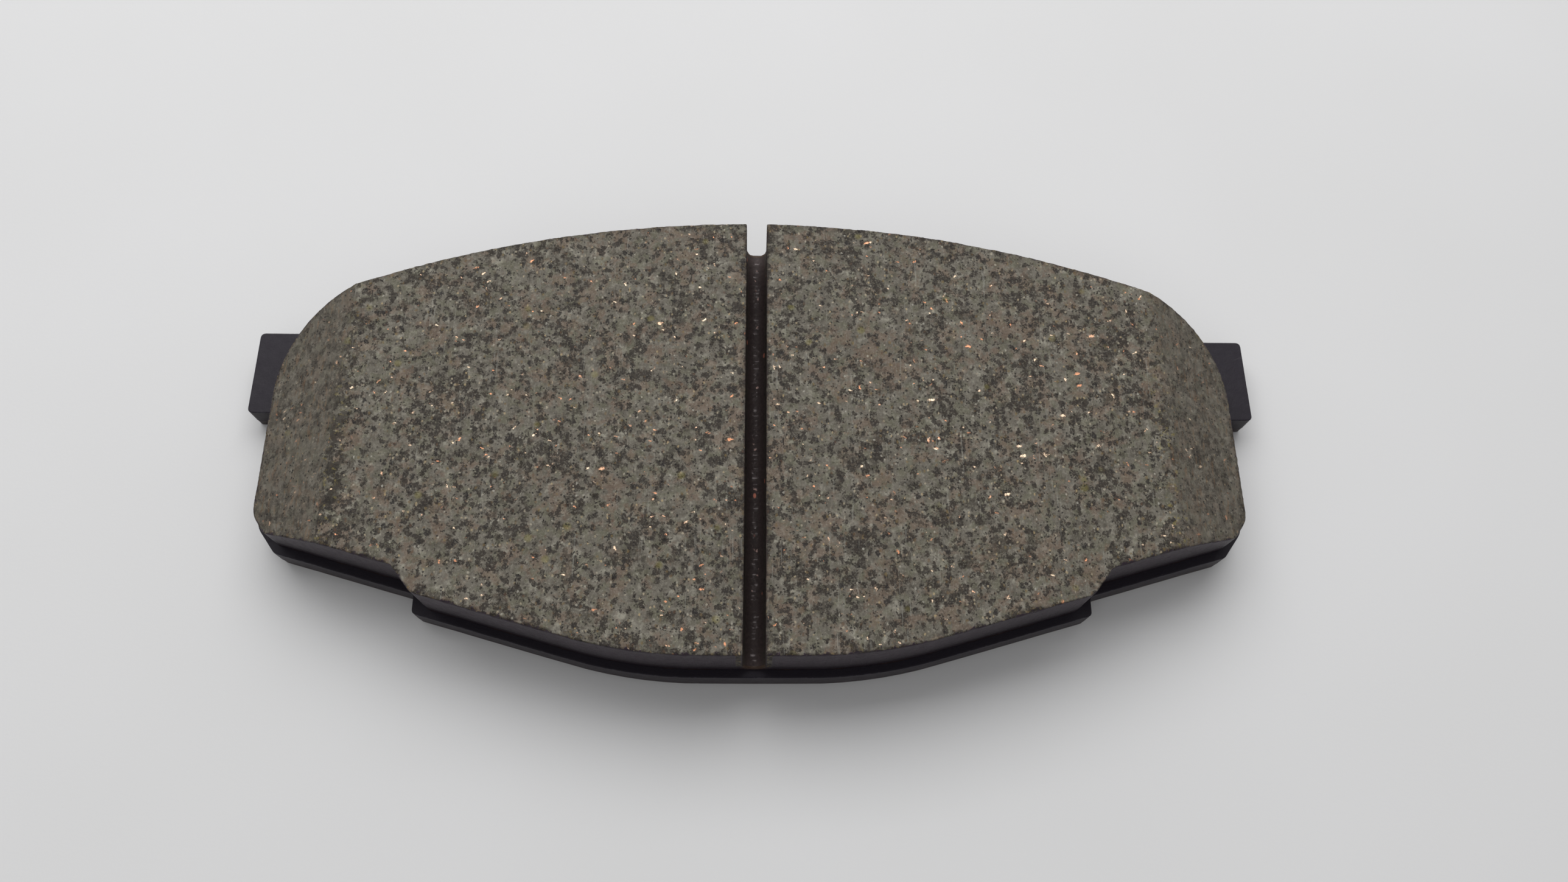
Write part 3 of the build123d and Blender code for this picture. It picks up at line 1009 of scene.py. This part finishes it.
def plate_material():
    """Black stoved coating with a fine orange peel, thin on the edges and rough where torn. Its sides
    carry a painted reflection of the floor, and its torn zone is lighter as bare steel and as painted
    reflection.
    """
    g = Graph("coated_plate")
    torn, edge = g.mask("torn"), g.mask("edge")
    colour = g.mix(g.noise(9.0, 4.0), srgb(24, 18, 28), srgb(31, 25, 36))
    mottled = g.step(g.noise(0.7, 4.0, 0.65), 0.5, 0.7)
    colour = g.tinted(colour, srgb(43, 37, 49), 0.2, mottled)
    # painted reflection: everything below the top face is painted lighter, standing in for the floor's
    # light on the plate's sides
    wall = g.step(g.axis(2), PLATE_TOP - 0.15, PLATE_TOP - 0.4)
    colour = g.tinted(colour, srgb(52, 44, 49), 0.5, wall)
    # the torn zone and the strip along the wings are lighter: partly bare torn steel, partly painted
    # reflection of the floor
    colour = g.tinted(colour, srgb(68, 57, 61), 0.6, torn)
    wing = g.step(g.number("ABSOLUTE", g.axis(0)), 40.0, 66.0)
    bare_steel_and_sheen = g.step(g.noise(1.4, 4.0, 0.65), 0.38, 0.62)
    colour = g.tinted(colour, srgb(88, 82, 74), 0.4, torn, wing, bare_steel_and_sheen)
    thin = g.product(edge, g.step(g.noise(0.9, 3.0, 0.7), 0.5, 0.62))
    colour = g.tinted(colour, srgb(98, 94, 102), 0.35, thin)
    fine = g.noise(0.25, 3.0, 0.65)
    dust = g.product(g.step(fine, 0.66, 0.74), g.step(g.noise(4.0, 3.0), 0.5, 0.62))
    colour = g.tinted(colour, srgb(120, 116, 118), 0.35, dust)
    normal = g.bump(fine, 0.02, g.bump(g.noise(0.9, 2.0, 0.5), 0.03))
    ridges = g.noise(0.3, 3.0, 0.6, g.stretched(1.0, 1.0, 0.15))
    normal = g.bump(g.product(torn, g.noise(0.5, 4.0, 0.7)), 0.12, g.bump(ridges, 0.012, normal))
    rough = g.scaled(g.noise(1.6, 4.0, 0.6), 0.44, 0.62)
    rough = g.number("ADD", rough, g.product(torn, 0.06))
    return g.finish(colour, rough, normal, specular=0.27)


def floor_material():
    """Matt pale paper."""
    g = Graph("pale_floor")
    colour = g.mix(g.noise(60.0, 2.0), srgb(219, 219, 219), srgb(225, 225, 226))
    return g.finish(colour, g.scaled(g.noise(3.0), 0.8, 0.9), g.bump(g.noise(0.5, 3.0), 0.01))


# ---- Stage ----

CAMERA_PLACE = (-0.55, -64.4, 171.8)  # millimetres
CAMERA_DEPRESSION = 68.3              # degrees below the horizon
CAMERA_ROLL = 4.36                    # degrees
CAMERA_HEADING = -4.23                # degrees
CAMERA_LENS = 27.1                    # millimetres, for the sensor's width below
CAMERA_SENSOR = 36.0

FLOOR_REACH = 1.5                     # metres, from here on
KEY_LIGHT = {"place": (-0.05, 0.34, 0.51), "width": 0.75, "depth": 0.45, "power": 2.97}
FILL_LIGHT = {"place": (-0.1, -0.45, 0.6), "width": 0.8, "depth": 0.5, "power": 0.5}
WORLD_NEAR = 0.09                     # brightness of the surroundings on the near side
WORLD_FAR = 0.66                      # the same beyond the pad


def make_camera():
    """Camera above the pad's lower edge, looking down and away, turned a little."""
    data = bpy.data.cameras.new("camera")
    data.lens = CAMERA_LENS
    data.sensor_width = CAMERA_SENSOR
    data.clip_start = 0.01
    camera = bpy.data.objects.new("camera", data)
    tilt = Matrix.Rotation(radians(90 - CAMERA_DEPRESSION), 4, "X")
    turn = Matrix.Rotation(radians(CAMERA_HEADING), 4, "Z")
    roll = Matrix.Rotation(radians(CAMERA_ROLL), 4, "Z")
    camera.matrix_world = Matrix.Translation(Vector(CAMERA_PLACE) * MM) @ turn @ tilt @ roll
    bpy.context.scene.collection.objects.link(camera)
    bpy.context.scene.camera = camera


def make_area_light(name, place, width, depth, power):
    """Soft light that faces the pad, placed and sized in metres."""
    data = bpy.data.lights.new(name, "AREA")
    data.shape = "RECTANGLE"
    data.size = width
    data.size_y = depth
    data.energy = power
    light = bpy.data.objects.new(name, data)
    light.location = place
    light.rotation_euler = (-Vector(place)).to_track_quat("-Z", "Y").to_euler()
    bpy.context.scene.collection.objects.link(light)


def make_floor():
    """Plain floor that fills the view."""
    mesh = bpy.data.meshes.new("floor")
    corners = [(x * FLOOR_REACH, y * FLOOR_REACH, 0) for x, y in ((-1, -1), (1, -1), (1, 1), (-1, 1))]
    mesh.from_pydata(corners, [], [(0, 1, 2, 3)])
    mesh.materials.append(floor_material())
    floor = bpy.data.objects.new("floor", mesh)
    bpy.context.scene.collection.objects.link(floor)


def make_world():
    """Grey surroundings, brighter beyond the pad than on the near side."""
    world = bpy.data.worlds.new("surroundings")
    world.use_nodes = True
    nodes, links = world.node_tree.nodes, world.node_tree.links
    place = nodes.new("ShaderNodeTexCoord")
    split = nodes.new("ShaderNodeSeparateXYZ")
    shade = nodes.new("ShaderNodeMapRange")
    shade.inputs["From Min"].default_value = -1.0
    shade.inputs["To Min"].default_value = WORLD_NEAR
    shade.inputs["To Max"].default_value = WORLD_FAR
    links.new(place.outputs["Generated"], split.inputs[0])
    links.new(split.outputs["Y"], shade.inputs["Value"])
    links.new(shade.outputs["Result"], nodes["Background"].inputs["Strength"])
    nodes["Background"].inputs["Color"].default_value = (1.0, 1.0, 1.0, 1.0)
    bpy.context.scene.world = world


def main():
    """Builds the five pieces and the stage."""
    lining = lining_material()
    make_plate(plate_material(), 11)
    make_film(adhesive_material(), 31)
    make_underlayer(underlayer_material(), 51)
    make_block(-1, "friction_block_left", lining, 71)
    make_block(1, "friction_block_right", lining, 171)
    make_floor()
    make_world()
    make_area_light("key", **KEY_LIGHT)
    make_area_light("fill", **FILL_LIGHT)
    make_camera()
    bpy.context.scene.view_settings.view_transform = "Standard"


main()
